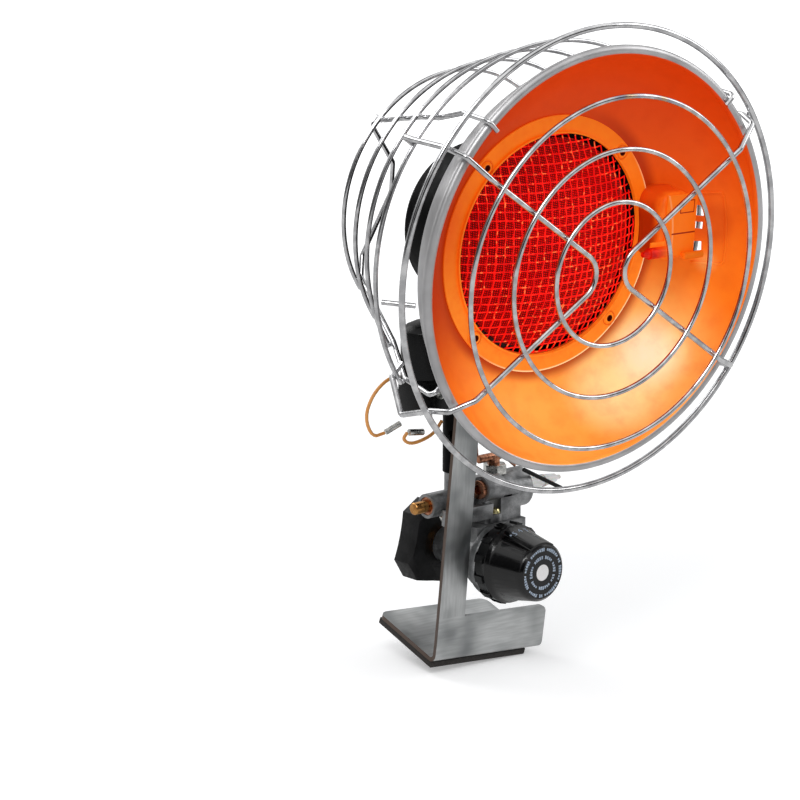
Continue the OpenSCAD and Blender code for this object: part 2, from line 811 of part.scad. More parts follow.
module valve_body() {
    base = flat_z + TINY;
    color("#9a9a98") difference() {
        union() {
            along_pin(barrel_x[0]) cylinder(r = barrel_r, h = barrel_x[1] - barrel_x[0]);
            along_pin(barrel_x[1]) cylinder(r = 7, h = 2.4);
            along_pin(guide_end) cylinder(r = guide_r, h = barrel_x[0] - guide_end + 1);
            translate([-5, -58, base]) cube([25, 20, 12]);
            translate([barrel_x[0], gallery_y, gallery_z]) rotate([0, 90, 0]) cylinder(r = 6.6, h = 12);
            for (p = screw_at) translate([p.x, p.y, base]) cylinder(r = 4.2, h = 5);
            at_rim() translate([-33, strip_back + TINY, stud_z - 4]) cube([31, 3, 8]);
            translate([tube_at.x, tube_at.y, pin_z - 6])
                cylinder(r = outlet_r, h = tube_base - pin_z + 6 - TINY);
            translate([tube_at.x, tube_at.y, tube_base - 1]) cylinder(r = tube_r - 1.6, h = 5);
        }
        along_pin(guide_end - 1) cylinder(r = 4.85, h = barrel_x[1] - guide_end - 6);
        along_pin(barrel_x[1] - 8) cylinder(r = 3, h = 14);
        translate([tube_at.x, tube_at.y, pin_z]) cylinder(r = 2, h = 30);
        translate([barrel_x[0] - 3, gallery_y, gallery_z]) rotate([0, 90, 0]) cylinder(r = 3.6, h = 14);
        at_rim() for (x = stud_x)
            translate([x, strip_back - 1, stud_z]) rotate([-90, 0, 0]) cylinder(r = 2.1, h = 8);
        for (p = screw_at) {
            translate([p.x, p.y, flat_z - 1]) cylinder(r = 1.7, h = 12);
            translate([p.x, p.y, base + 5]) cylinder(r = 4.1, h = 7.5);
        }
    }
}

module valve_screws() {
    color("khaki") for (p = screw_at) translate([p.x, p.y, flat_z + 5 + 2 * TINY]) {
        translate([0, 0, -9]) cylinder(r = 1.6, h = 9);
        difference() {
            cylinder(r1 = 3.4, r2 = 2.6, h = 2.2);
            for (a = [45, 135]) rotate(a) translate([-2, -0.4, 1]) cube([4, 0.8, 2]);
        }
    }
}

module gallery_plug() {
    color("peru") translate([barrel_x[0] - 2.5 - TINY, gallery_y, gallery_z]) rotate([0, 90, 0]) difference() {
        union() {
            cylinder(r = 4.9, h = 2.5);
            cylinder(r = 3.5, h = 9);
        }
        translate([0, 0, -1]) hex_bar(5, 5);
    }
}

module pin_bush() {
    color("sienna") along_pin(guide_end + 0.4) difference() {
        cylinder(r = 4.8, h = 12);
        translate([0, 0, -1]) cylinder(r = pin_r + run_gap, h = 14);
    }
}

module push_pin() {
    color("goldenrod") along_pin(pin_tip) {
        cylinder(r1 = pin_r - 0.6, r2 = pin_r, h = 0.6);
        translate([0, 0, 0.6]) cylinder(r = pin_r, h = 32);
    }
}

module magnet_ring() {
    color("silver") along_pin(barrel_x[1] + 2.4 + TINY) cylinder(r = 4.6, h = 2.4);
}

module magnet_cap() {
    color("white") along_pin(barrel_x[1] + 4.8 + 2 * TINY) cylinder(r1 = 4.5, r2 = 2.9, h = 11);
}

module lead_boot() {
    color("whitesmoke") along_pin(barrel_x[1] + 15.8 + 3 * TINY) {
        cylinder(r1 = 3.5, r2 = 2.3, h = 9);
        translate([0, 0, 8.9]) cylinder(r = 1.2, h = 3.6);
    }
}

module sleeve_rod() {
    color("#1c1c1c") rod([24.6, -55.1, 42.3], [51.5, -55.1, 28], 2.2);
}

module junction_nut() {
    color("silver") difference() {
        translate([12.5, pin_y, pin_z + barrel_r - 0.6]) hex_bar(11, 5);
        along_pin(barrel_x[0]) cylinder(r = barrel_r + TINY, h = 40);
    }
}

module junction_fitting() {
    color("peru") translate([11.5, pin_y, pin_z + barrel_r + 4.4 + TINY]) {
        hex_bar(6, 5);
        translate([-10.6, 0, 4]) rotate([0, 90, 0]) cylinder(r = 2.2, h = 15);
    }
}

module copper_lead() { color("peru") lead(copper_lead, 1.6); }
module copper_tail() { color("peru") lead(copper_tail, 1.6); }

// ---------- tilt switch and its leads ----------

module tilt_switch() {
    color("#141414") translate([can_at.x, can_at.y, can_z]) {
        cylinder(r = can_r, h = 24);
        translate([0, 0, 24]) cylinder(r1 = can_r, r2 = can_r - 3, h = 3);
        translate([0, 0, 27]) cylinder(r1 = can_r - 3, r2 = can_r - 7.5, h = 2);
    }
}

module switch_base() {
    color("#1b1b1b") difference() {
        translate([can_at.x - 9, can_at.y - 8, can_z - 18]) cube([tube_at.x - can_at.x + 8, 17, 18 - TINY]);
        translate([tube_at.x, tube_at.y, can_z - 20]) cylinder(r = tube_r + TINY, h = 24);
    }
}

module switch_screw() {
    color("silver") translate([can_at.x + 4, can_at.y - 8 - TINY, can_z - 8]) rotate([90, 0, 0]) difference() {
        cylinder(r = 3, h = 1.8);
        translate([-2.4, -0.4, 1]) cube([4.8, 0.8, 2]);
    }
}

module can_lead() { color("orange") lead(can_lead, LEAD_D); }
module loop_lead() { color("orange") lead(loop_lead, LEAD_D); }

module lead_crimp() {
    color("gray") rod([-54.2, -36.1, 71.3], [-46, -38, 75], 3);
}

module spade_connectors() {
    color("lightgray") rod([-41.9, -40, 70], [-33, -41, 69], 3.4);
}

reflector_dish();
burner_plate();
burner_eyelets();
outer_screen();
inner_screen();
burner_cup();
diffuser_plate();
mixing_tube();
gas_jet();
sensor_bracket();
sensor_screw();
thermocouple();
front_ring();
face_ring_outer();
face_ring_middle();
face_ring_inner();
cross_wire_right();
cross_wire_left();
side_ring_1();
side_ring_2();
side_ring_3();
side_ring_4();
rear_frame_right();
rear_frame_left();
side_struts();
support_bracket();
bracket_screws();
bracket_nuts();
foot_pad();
regulator_body();
diaphragm();
front_cover();
adjusting_stem();
control_knob();
knob_dot();
coupling_nut();
inlet_nipple();
inlet_seal();
valve_body();
valve_screws();
gallery_plug();
pin_bush();
push_pin();
magnet_ring();
magnet_cap();
lead_boot();
sleeve_rod();
junction_nut();
junction_fitting();
copper_lead();
copper_tail();
tilt_switch();
switch_base();
switch_screw();
can_lead();
loop_lead();
lead_crimp();
spade_connectors();
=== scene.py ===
import math

import bmesh
import bpy
from mathutils import Matrix, Vector, noise


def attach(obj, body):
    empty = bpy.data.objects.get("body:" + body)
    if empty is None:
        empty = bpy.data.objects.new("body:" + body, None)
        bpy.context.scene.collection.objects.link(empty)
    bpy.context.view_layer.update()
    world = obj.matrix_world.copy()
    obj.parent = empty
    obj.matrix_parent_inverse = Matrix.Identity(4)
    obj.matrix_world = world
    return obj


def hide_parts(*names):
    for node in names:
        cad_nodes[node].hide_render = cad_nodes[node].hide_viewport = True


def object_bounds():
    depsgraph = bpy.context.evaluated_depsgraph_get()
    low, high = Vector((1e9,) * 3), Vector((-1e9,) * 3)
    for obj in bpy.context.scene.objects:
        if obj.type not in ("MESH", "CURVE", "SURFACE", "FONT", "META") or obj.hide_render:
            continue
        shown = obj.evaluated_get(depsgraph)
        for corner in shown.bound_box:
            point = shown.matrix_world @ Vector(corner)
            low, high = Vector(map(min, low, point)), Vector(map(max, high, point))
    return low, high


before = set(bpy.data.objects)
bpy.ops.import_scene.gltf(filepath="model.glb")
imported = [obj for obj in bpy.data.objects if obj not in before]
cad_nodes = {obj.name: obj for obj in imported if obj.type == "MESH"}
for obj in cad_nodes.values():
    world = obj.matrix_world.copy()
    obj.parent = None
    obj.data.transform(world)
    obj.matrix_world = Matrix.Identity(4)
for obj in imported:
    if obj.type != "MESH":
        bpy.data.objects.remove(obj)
cad_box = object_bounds()
MM = 0.001

# The camera stands about two metres off to the left and a little above the heater,
# with a long lens, so the guard and the burner are seen from the front left.
CAMERA_AT = Vector((-1.2397, -1.4061, 0.5150))
CAMERA_RIGHT = Vector((0.754, -0.6569, 0.0028))
CAMERA_UP = Vector((0.1486, 0.1747, 0.9733))
CAMERA_BACK = Vector((-0.6399, -0.7335, 0.2293))
LENS = 164.86
SENSOR = 36
camera = bpy.data.objects.new("camera", bpy.data.cameras.new("camera"))
bpy.context.scene.collection.objects.link(camera)
camera.data.lens = LENS
camera.data.sensor_width = SENSOR
turned = Matrix((CAMERA_RIGHT, CAMERA_UP, CAMERA_BACK)).transposed()
camera.matrix_world = Matrix.LocRotScale(CAMERA_AT, turned, Vector((1, 1, 1)))
bpy.context.scene.camera = camera
bpy.context.scene.view_settings.view_transform = "Standard"

# A pale studio. Bright metal sees a white ceiling in it that darkens towards the floor,
# with dark cards hung round it, and they draw the streaks in chromed wire.
AIR_COLOUR = (0.97, 0.98, 1, 1)
AIR_GLOW = 0.62
WHITE = (1, 1, 1, 1)
CEILING_HEIGHT = 0.8
CEILING_LOW, CEILING_HIGH = 0.24, 1.05


class NodeSet:
    """Short ways to add and join the nodes of the studio or of one finish."""

    def __init__(self, tree):
        self.tree = tree

    def add(self, kind, **props):
        made = self.tree.nodes.new("ShaderNode" + kind)
        for key, value in props.items():
            setattr(made, key, value)
        return made

    def plug(self, made, values):
        for socket, value in values.items():
            if isinstance(value, bpy.types.NodeSocket):
                self.tree.links.new(value, made.inputs[socket])
            else:
                made.inputs[socket].default_value = value
        return made

    def calc(self, operation, *values):
        made = self.add("Math", operation=operation)
        return self.plug(made, dict(enumerate(values))).outputs[0]

    def ramp(self, value, low, high, start=0.0, end=1.0, kind="SMOOTHSTEP"):
        made = self.add("MapRange", interpolation_type=kind)
        sockets = {"Value": value, "From Min": low, "From Max": high, "To Min": start, "To Max": end}
        return self.plug(made, sockets).outputs["Result"]

    def either(self, amount, first, second):
        return self.plug(self.add("MixShader"), {0: amount, 1: first, 2: second}).outputs[0]


studio = bpy.data.worlds.new("studio")
bpy.context.scene.world = studio
studio.use_nodes = True
studio.node_tree.nodes.clear()
air = NodeSet(studio.node_tree)
looking = air.add("TexCoord").outputs["Generated"]
upward = air.plug(air.add("SeparateXYZ"), {0: looking}).outputs["Z"]
seen = air.ramp(upward, 0, CEILING_HEIGHT, CEILING_LOW, CEILING_HIGH, "LINEAR")
for towards, wide, soft, dark in (
    ((-0.62, -0.74, 0.1), 0.9, 0.04, 0.04),
    ((0.5, -0.85, 0.1), 0.93, 0.02, 0.1),
    ((-0.95, 0.2, 0.2), 0.9, 0.03, 0.12),
    ((0.1, 0.25, 0.96), 0.95, 0.015, 0.1),
):
    facing = air.add("VectorMath", operation="DOT_PRODUCT")
    air.plug(facing, {0: looking, 1: Vector(towards).normalized()})
    dark_card = air.ramp(facing.outputs["Value"], wide - soft, wide + soft, 1, dark)
    seen = air.calc("MULTIPLY", seen, dark_card)
ambient = air.plug(air.add("Background"), {"Color": AIR_COLOUR, "Strength": AIR_GLOW})
in_metal = air.plug(air.add("Background"), {"Color": seen})
white_wall = air.plug(air.add("Background"), {"Color": WHITE})
ray = air.add("LightPath").outputs
mirrored = air.calc("MAXIMUM", ray["Is Glossy Ray"], ray["Is Transmission Ray"])
lit_or_mirrored = air.either(mirrored, ambient.outputs[0], in_metal.outputs[0])
whole_studio = air.either(ray["Is Camera Ray"], lit_or_mirrored, white_wall.outputs[0])
air.plug(air.add("OutputWorld"), {"Surface": whole_studio})

LAMPS_AIM_AT = Vector((0, -0.1, 0.12))
for lamp_name, lamp_at, power, size in (
    ("key_softbox", (-1.3, -1.1, 1.7), 16, 1.0),
    ("fill_softbox", (1.5, -1.0, 0.9), 8, 1.2),
    ("rear_softbox", (-0.4, 1.5, 1.3), 9, 1.2),
):
    lamp = bpy.data.lights.new(lamp_name, "AREA")
    lamp.energy = power
    lamp.shape = "DISK"
    lamp.size = size
    softbox = bpy.data.objects.new(lamp_name, lamp)
    bpy.context.scene.collection.objects.link(softbox)
    softbox.location = lamp_at
    aim = LAMPS_AIM_AT - Vector(lamp_at)
    softbox.rotation_euler = aim.to_track_quat("-Z", "Y").to_euler()

# The floor is a wide sheet of matte white paper that touches the bottom of the rubber
# foot. It keeps the heater's shadow, fades to white further off, and is dim in metal.
FLOOR_HALF = 9
PAPER = (0.86, 0.86, 0.86, 1)
FADE_FROM, FADE_TO = 0.6, 2.2
FADE_NEAR, FADE_FAR = 0.3, 1.0
PAPER_IN_METAL = 0.66
floor_z = cad_box[0][2]
floor_mesh = bpy.data.meshes.new("floor")
corners = ((-1, -1), (1, -1), (1, 1), (-1, 1))
floor_mesh.from_pydata([(x * FLOOR_HALF, y * FLOOR_HALF, floor_z) for x, y in corners], [], [(0, 1, 2, 3)])
floor = bpy.data.objects.new("floor", floor_mesh)
bpy.context.scene.collection.objects.link(floor)
paper = bpy.data.materials.new("floor_paper")
paper.use_nodes = True
floor_mesh.materials.append(paper)
sheet = NodeSet(paper.node_tree)
ray = sheet.add("LightPath").outputs
from_heater = sheet.add("VectorMath", operation="LENGTH")
sheet.plug(from_heater, {0: sheet.add("TexCoord").outputs["Object"]})
fade = sheet.ramp(from_heater.outputs["Value"], FADE_FROM, FADE_TO, FADE_NEAR, FADE_FAR, "LINEAR")
matte = sheet.plug(sheet.tree.nodes["Principled BSDF"], {
    "Base Color": PAPER,
    "Roughness": 0.9,
    "Specular IOR Level": 0,
    "Emission Color": WHITE,
    "Emission Strength": sheet.calc("MULTIPLY", ray["Is Camera Ray"], fade),
})
dim = sheet.plug(sheet.add("Emission"), {"Strength": PAPER_IN_METAL})
paper_or_dim = sheet.either(ray["Is Glossy Ray"], matte.outputs[0], dim.outputs[0])
sheet.plug(sheet.tree.nodes["Material Output"], {"Surface": paper_or_dim})

# The burner screen: a dome of woven heat-resisting steel wire, red hot, over a finer
# one. The coarse wires are crimped over and under each other.
HEAD_AT = (-4.4, -137.8, 169)
HEAD_TILT = math.radians(5)
HEAD_TWIST = math.radians(-4)
head = Matrix.Translation(HEAD_AT) @ Matrix.Rotation(HEAD_TILT, 4, "X")
head = Matrix.Scale(MM, 4) @ head @ Matrix.Rotation(HEAD_TWIST, 4, "Z")
SCREEN_Z = -1
SCREEN_R = 57
SCREEN_FRONT = 40.05
SCREEN_PITCH = 4.3
SCREEN_WIRE = 0.36
SCREEN_EDGE = 0.6
WIRE_SIDES = 6
WIRE_DRIFT = 0.35
DRIFT_ALONG, DRIFT_ACROSS = 0.03, 0.05
WEFT_DRIFT, WARP_DRIFT = 3, 8
DOME_RISE = 15
OFF_THE_PATH = Vector((0.31, 0.52, 0.8))


def linear(red, green, blue):
    """A colour as a paint card gives it, 0 to 255, for a shader."""
    levels = [c / 255 for c in (red, green, blue)]
    return [c / 12.92 if c <= 0.04045 else ((c + 0.055) / 1.055) ** 2.4 for c in levels] + [1]


class Finish(NodeSet):
    """A finish for one kind of surface. Sizes of its patches and grain are in millimetres."""

    def __init__(self, name):
        self.material = bpy.data.materials.new(name)
        self.material.use_nodes = True
        super().__init__(self.material.node_tree)
        self.skin = self.tree.nodes["Principled BSDF"]
        coordinates = self.add("TexCoord").outputs
        self.on = coordinates["Object"]
        self.normal = coordinates["Normal"]

    def set(self, **values):
        return self.plug(self.skin, {socket.replace("_", " "): v for socket, v in values.items()})

    def mix(self, amount, first, second):
        tones = [linear(*tone) if isinstance(tone, tuple) else tone for tone in (first, second)]
        made = self.plug(self.add("Mix", data_type="RGBA"), {0: amount, 6: tones[0], 7: tones[1]})
        return made.outputs[2]

    def stretched(self, stretch):
        return self.plug(self.add("Mapping"), {"Vector": self.on, "Scale": stretch}).outputs[0]

    def noise(self, size, detail=3, at=None):
        sockets = {"Vector": at or self.on, "Scale": 1 / (size * MM), "Detail": detail}
        return self.plug(self.add("TexNoise"), sockets).outputs["Fac"]

    def bump(self, height, depth):
        made = self.plug(self.add("Bump"), {"Height": height, "Distance": depth * MM})
        self.set(Normal=made.outputs[0])

    def lit(self, tone, strength):
        """A surface that shines in its own colour, in the burner's light."""
        self.set(Base_Color=tone, Emission_Color=tone, Emission_Strength=strength)

    def in_head(self):
        """Finds places in the head's own frame, in millimetres: across, back, up."""
        sockets = {"Vector": self.on, "Location": head.to_translation(), "Rotation": head.to_euler()}
        mapped = self.plug(self.add("Mapping", vector_type="TEXTURE"), {**sockets, "Scale": (MM, MM, MM)})
        self.place = mapped.outputs[0]
        self.across, self.back, self.up = self.plug(self.add("SeparateXYZ"), {0: self.place}).outputs

    def span(self, across, up):
        """The straight distance that a distance across and one up make together."""
        squares = [self.calc("MULTIPLY", part, part) for part in (across, up)]
        return self.calc("SQRT", self.calc("ADD", *squares))

    def spot(self, centre, near, far):
        """1 at a place in the head, fading to 0 at a distance."""
        gap = self.plug(self.add("VectorMath", operation="DISTANCE"), {0: self.place, 1: centre})
        return self.ramp(gap.outputs["Value"], far, near)


def make_piece(name, points, faces, finish, body="heater", place=head, slot=None, smooth=True):
    """One new piece from its points in millimetres, on a body, with its finish."""
    mesh = bpy.data.meshes.new(name)
    mesh.from_pydata([place @ Vector(p) for p in points], [], faces)
    shape = bmesh.new()
    shape.from_mesh(mesh)
    bmesh.ops.recalc_face_normals(shape, faces=shape.faces)
    shape.to_mesh(mesh)
    shape.free()
    mesh.polygons.foreach_set("use_smooth", [smooth] * len(mesh.polygons))
    mesh.materials.append(finish.material)
    made = bpy.data.objects.new(name, mesh)
    bpy.context.scene.collection.objects.link(made)
    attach(made, body)
    return made


def tube(path, radius, sides, points, faces):
    """A round wire along an open path, added to a list of points and faces."""
    start, last = len(points), len(path) - 1
    path = [Vector(p) for p in path]
    side = OFF_THE_PATH
    for i, p in enumerate(path):
        way = (path[min(i + 1, last)] - path[max(i - 1, 0)]).normalized()
        side = (side - way * side.dot(way)).normalized()
        up = way.cross(side)
        for k in range(sides):
            a = 2 * math.pi * k / sides
            points.append(p + (side * math.cos(a) + up * math.sin(a)) * radius)
    for i in range(last):
        a, b = start + i * sides, start + (i + 1) * sides
        for k in range(sides):
            faces.append((a + k, b + k, b + (k + 1) % sides, a + (k + 1) % sides))
    faces.append(tuple(start + k for k in range(sides)))
    faces.append(tuple(start + last * sides + k for k in reversed(range(sides))))


def dome_back(across, up, edge_y, edge_r):
    """How far back the dome lies at a place on it."""
    radius = (edge_r**2 + DOME_RISE**2) / (2 * DOME_RISE)
    return edge_y + radius - DOME_RISE - math.sqrt(radius**2 - across**2 - up**2)


hot_wire = Finish("red_hot_wire")
patchy = hot_wire.ramp(hot_wire.noise(9, 2), 0.35, 0.65)
glint = hot_wire.ramp(hot_wire.noise(2.2, 1), 0.6, 0.7)
wire_red = hot_wire.mix(patchy, (214, 0, 0), (248, 22, 10))
hot_wire.lit(hot_wire.mix(glint, wire_red, (255, 120, 60)), 0.5)
hot_wire.set(Metallic=0.2, Specular_IOR_Level=0.3)
hot_wire.set(Roughness=hot_wire.ramp(hot_wire.noise(1.5), 0.3, 0.7, 0.35, 0.6))
hot_wire.bump(hot_wire.noise(0.4, 4), 0.05)

woven_points, woven_faces = [], []
reach = SCREEN_R - SCREEN_EDGE
rows = int(reach / SCREEN_PITCH)
for row in range(-rows, rows + 1):
    level = row * SCREEN_PITCH
    half = math.sqrt(reach**2 - level**2)
    steps = int(4 * half / SCREEN_PITCH)
    along = [-half + 2 * half * k / steps for k in range(steps + 1)]
    for weft in (True, False):
        path = []
        for s in along:
            over = math.cos(math.pi * (s / SCREEN_PITCH + row)) * SCREEN_WIRE * (1 if weft else -1)
            kind = WEFT_DRIFT if weft else WARP_DRIFT
            drift = WIRE_DRIFT * noise.noise((s * DRIFT_ALONG, level * DRIFT_ACROSS, kind))
            x, z = (s, level + drift) if weft else (level + drift, s)
            path.append((x, dome_back(x, z, SCREEN_FRONT, SCREEN_R) + over, z + SCREEN_Z))
        tube(path, SCREEN_WIRE, WIRE_SIDES, woven_points, woven_faces)
woven_screen = make_piece("woven_screen", woven_points, woven_faces, hot_wire, slot="screen")
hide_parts("outer_screen")

# Behind it a fine gauze of the same steel spreads the flame: far too fine to see as
# wires, it shows as a dark red cloth with a close ribbed weave.
GAUZE_FRONT = 41.7
GAUZE_R = 54
GAUZE_THICK = 0.5
GAUZE_PITCH = 1.15
GAUZE_SLANT = 0.25
GAUZE_RINGS, GAUZE_SIDES = 24, 120
DULLEST_AT, BRIGHTEST_WITHIN = 58, 25
AXIS_R = 0.02


def lathe(profile, steps, points, faces, closed=False, axis=(0, 0)):
    """Turns a profile of (radius, back) about an axis in the head."""
    start, many = len(points), len(profile)
    for k in range(steps):
        a = 2 * math.pi * k / steps
        for r, y in profile:
            points.append((axis[0] + r * math.cos(a), y, axis[1] + r * math.sin(a)))
    for k in range(steps):
        a, b = start + k * many, start + (k + 1) % steps * many
        for i in range(many if closed else many - 1):
            j = (i + 1) % many
            faces.append((a + i, a + j, b + j, b + i))
    return points, faces


gauze = Finish("red_hot_gauze")
gauze.in_head()
per_mm = 2 * math.pi / GAUZE_PITCH
slanted_up = gauze.calc("ADD", gauze.up, gauze.calc("MULTIPLY", gauze.across, GAUZE_SLANT))
ribs, rungs = [
    gauze.calc("ADD", gauze.calc("SINE", gauze.calc("MULTIPLY", way, per_mm)), 1)
    for way in (gauze.across, slanted_up)
]
weave = gauze.calc("MULTIPLY", ribs, rungs)
blotch = gauze.ramp(gauze.noise(16, 3), 0.35, 0.7)
middle_glow = gauze.ramp(gauze.span(gauze.across, gauze.up), DULLEST_AT, BRIGHTEST_WITHIN)
dark_gauze = gauze.mix(blotch, (74, 0, 0), (120, 0, 0))
bright_gauze = gauze.mix(middle_glow, (196, 0, 0), (236, 0, 0))
gauze.lit(gauze.mix(gauze.ramp(weave, 0.2, 2.6), dark_gauze, bright_gauze), 0.55)
gauze.set(Specular_IOR_Level=0.15, Roughness=gauze.ramp(blotch, 0, 1, 0.5, 0.75))
gauze.bump(weave, 0.12)

gauze_radii = [AXIS_R] + [GAUZE_R * k / GAUZE_RINGS for k in range(1, GAUZE_RINGS + 1)]
gauze_profile = [(r, dome_back(r, 0, GAUZE_FRONT, GAUZE_R)) for r in gauze_radii]
gauze_profile += [(r, y + GAUZE_THICK) for r, y in reversed(gauze_profile)]
gauze_shape = lathe(gauze_profile, GAUZE_SIDES, [], [], closed=True, axis=(0, SCREEN_Z))
gauze_screen = make_piece("gauze_screen", *gauze_shape, gauze, slot="screen")
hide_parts("inner_screen")

# The reflector: one spun and pressed steel bowl with a rolled rim. Its inside shines
# orange in the burner's light; the rim and the back are bare brushed steel.
RIM_FROM, RIM_TO = 103.7, 104.1
BURNER_LIGHT = 0.26
# The inside of the bowl faces this point in front of it, and its back faces away.
BOWL_FACES = (0, -55, 0)
# Painted highlights, and one painted shadow in the pocket: centre, full within, gone beyond, colour and
# strength.
LIT_SPOTS = (
    ((0, 20, -90), 10, 78, (255, 178, 78), 0.8),
    ((57, 27, -66), 10, 56, (255, 196, 108), 0.95),
    ((42, 27, -80), 4, 34, (255, 226, 158), 0.9),
    ((62, 27, -62), 2, 26, (255, 238, 196), 1.0),
    ((92, 20, 4), 6, 15, (196, 66, 4), 0.55),
    ((90, 20, -16), 1, 8, (255, 196, 110), 0.6),
)
WELD_WITHIN = 0.005
FLAT_ANGLE = math.radians(0.5)
EDGE_ANGLE = math.radians(40)


def dress(nodes, finish, soften=0.0, split=38):
    """CAD nodes take their finish, smooth across facets; soften rounds their edges."""
    for node in nodes.split():
        thing = cad_nodes[node]
        thing.data.materials.clear()
        thing.data.materials.append(finish.material)
        if "custom_normal" in thing.data.attributes:
            thing.data.attributes.remove(thing.data.attributes["custom_normal"])
        thing.data.polygons.foreach_set("use_smooth", [True] * len(thing.data.polygons))
        thing.modifiers.new("joined", "WELD").merge_threshold = WELD_WITHIN * MM
        if soften:
            flats = thing.modifiers.new("flats", "DECIMATE")
            flats.decimate_type = "DISSOLVE"
            flats.angle_limit = FLAT_ANGLE
            edges = thing.modifiers.new("edges", "BEVEL")
            edges.width = soften * MM
            edges.segments = 2
            edges.limit_method = "ANGLE"
            edges.angle_limit = EDGE_ANGLE
        thing.modifiers.new("creases", "EDGE_SPLIT").split_angle = math.radians(split)


bowl = Finish("lit_reflector")
bowl.in_head()
from_axis = bowl.span(bowl.across, bowl.up)
# The inside's orange is painted burner light, brighter low down. It is painted darker on the left, as shade,
# and lighter low on the right, as light.
bowl_orange = bowl.mix(bowl.ramp(bowl.up, -95, 90), (252, 130, 26), (212, 66, 10))
shaded_left = bowl.calc("MULTIPLY", bowl.ramp(bowl.across, -5, -85), bowl.ramp(bowl.up, -92, -20))
bowl_orange = bowl.mix(bowl.calc("MULTIPLY", shaded_left, 0.9), bowl_orange, (166, 30, 4))
lit_low_right = bowl.calc("MULTIPLY", bowl.ramp(bowl.across, 10, 80), bowl.ramp(bowl.up, 40, -80))
bowl_orange = bowl.mix(bowl.calc("MULTIPLY", lit_low_right, 0.7), bowl_orange, (250, 140, 34))
for centre, near, far, shine, strength in LIT_SPOTS:
    lit_here = bowl.calc("MULTIPLY", bowl.spot(centre, near, far), strength)
    bowl_orange = bowl.mix(lit_here, bowl_orange, shine)
by_plate = bowl.ramp(from_axis, 74, 67.5)
off_upper_left = bowl.ramp(bowl.calc("SUBTRACT", bowl.across, bowl.up), -70, 10)
step_shade = bowl.calc("MULTIPLY", bowl.calc("MULTIPLY", by_plate, off_upper_left), 0.85)
bowl_orange = bowl.mix(step_shade, bowl_orange, (168, 44, 2))
bowl_orange = bowl.mix(bowl.ramp(bowl.noise(9, 4), 0.35, 0.8, 0, 0.2), bowl_orange, (190, 50, 2))
bare_steel = bowl.mix(bowl.ramp(bowl.noise(22, 3), 0.3, 0.7), (176, 175, 176), (206, 205, 206))
behind = bowl.plug(bowl.add("VectorMath", operation="SUBTRACT"), {0: bowl.place, 1: BOWL_FACES})
facing = bowl.add("VectorMath", operation="DOT_PRODUCT")
bowl.plug(facing, {0: behind.outputs[0], 1: bowl.normal})
is_back = bowl.ramp(facing.outputs["Value"], -0.5, 0.5)
is_steel = bowl.calc("MAXIMUM", is_back, bowl.ramp(from_axis, RIM_FROM, RIM_TO))
bowl.set(Emission_Color=bowl.mix(is_steel, bowl_orange, (0, 0, 0)), Emission_Strength=BURNER_LIGHT)
bowl.set(Base_Color=bowl.mix(is_steel, bowl_orange, bare_steel), Specular_IOR_Level=0.15)
bowl.set(Metallic=bowl.ramp(is_steel, 0, 1, 0.1, 0.9))
bowl.set(Roughness=bowl.ramp(bowl.noise(6), 0.2, 0.8, 0.36, 0.46))
bowl.bump(bowl.noise(18, 2), 0.2)
dress("reflector_dish", bowl, split=30)

# The burner plate: a pressed steel ring, orange hot, that clamps the screens with
# four flared eyelets, each in a shallow pressed ring.
EYELET_CIRCLE = 61.3
EYELET_OFF = EYELET_CIRCLE / math.sqrt(2)
EYELET_HOLE = (1.9, 1.6)
PRESSED_R, PRESSED_ROUND = 4.3, 0.42
PRESSED_SHADE_R = 3.6
PLATE_FRONT = 38.36
EDGE_RISES, EDGE_FALLS = (65.0, 65.7), (66.6, 66.2)
POCKET_FROM, POCKET_TO = 60.4, 60.8
PRESSED_SIDES = 36
# Seams pressed in the sensor's plate: middle across and up, half width and half height.
POCKET_SEAMS = ((74.5, 15.3, 4.5, 3.1), (73, 1.6, 7.5, 0.1))
plate = Finish("hot_plate")
plate.in_head()
above_middle = plate.calc("SUBTRACT", plate.up, SCREEN_Z)
plate_tone = plate.mix(plate.ramp(plate.up, -50, 55), (252, 140, 34), (248, 124, 16))
# Painted shade: the plate is darker at its far left.
shaded_far_left = plate.calc("MULTIPLY", plate.ramp(plate.across, -45, -68), plate.ramp(plate.up, -30, 20))
plate_tone = plate.mix(shaded_far_left, plate_tone, (226, 88, 8))
plate_tone = plate.mix(plate.ramp(plate.noise(4, 4), 0.35, 0.8, 0, 0.3), plate_tone, (222, 92, 6))
from_eyelet = plate.span(*[
    plate.calc("SUBTRACT", plate.calc("ABSOLUTE", way), EYELET_OFF) for way in (plate.across, above_middle)
])
# Painted shade: dark in each eyelet's hole, and a darker band just inside its pressed ring.
plate_tone = plate.mix(plate.ramp(from_eyelet, *EYELET_HOLE), plate_tone, (72, 6, 0))
off_ring = plate.calc("ABSOLUTE", plate.calc("SUBTRACT", from_eyelet, PRESSED_SHADE_R))
plate_tone = plate.mix(plate.ramp(off_ring, 0.55, 0.15, 0, 0.6), plate_tone, (196, 66, 4))
# Painted highlight: a pale line along the plate's outer edge, low on the right.
from_middle = plate.span(plate.across, above_middle)
edge_ramps = [plate.ramp(from_middle, *limits) for limits in (EDGE_RISES, EDGE_FALLS)]
on_edge = plate.calc("MULTIPLY", *edge_ramps)
lit_low_right = plate.ramp(plate.calc("SUBTRACT", plate.across, plate.up), 0, 60)
plate_tone = plate.mix(plate.calc("MULTIPLY", on_edge, lit_low_right), plate_tone, (255, 224, 164))
right_of_plate = plate.ramp(plate.across, POCKET_FROM, POCKET_TO)
on_pocket = plate.calc("MULTIPLY", right_of_plate, plate.ramp(plate.back, 30, 24))
plate_tone = plate.mix(plate.calc("MULTIPLY", on_pocket, 0.75), plate_tone, (236, 108, 14))
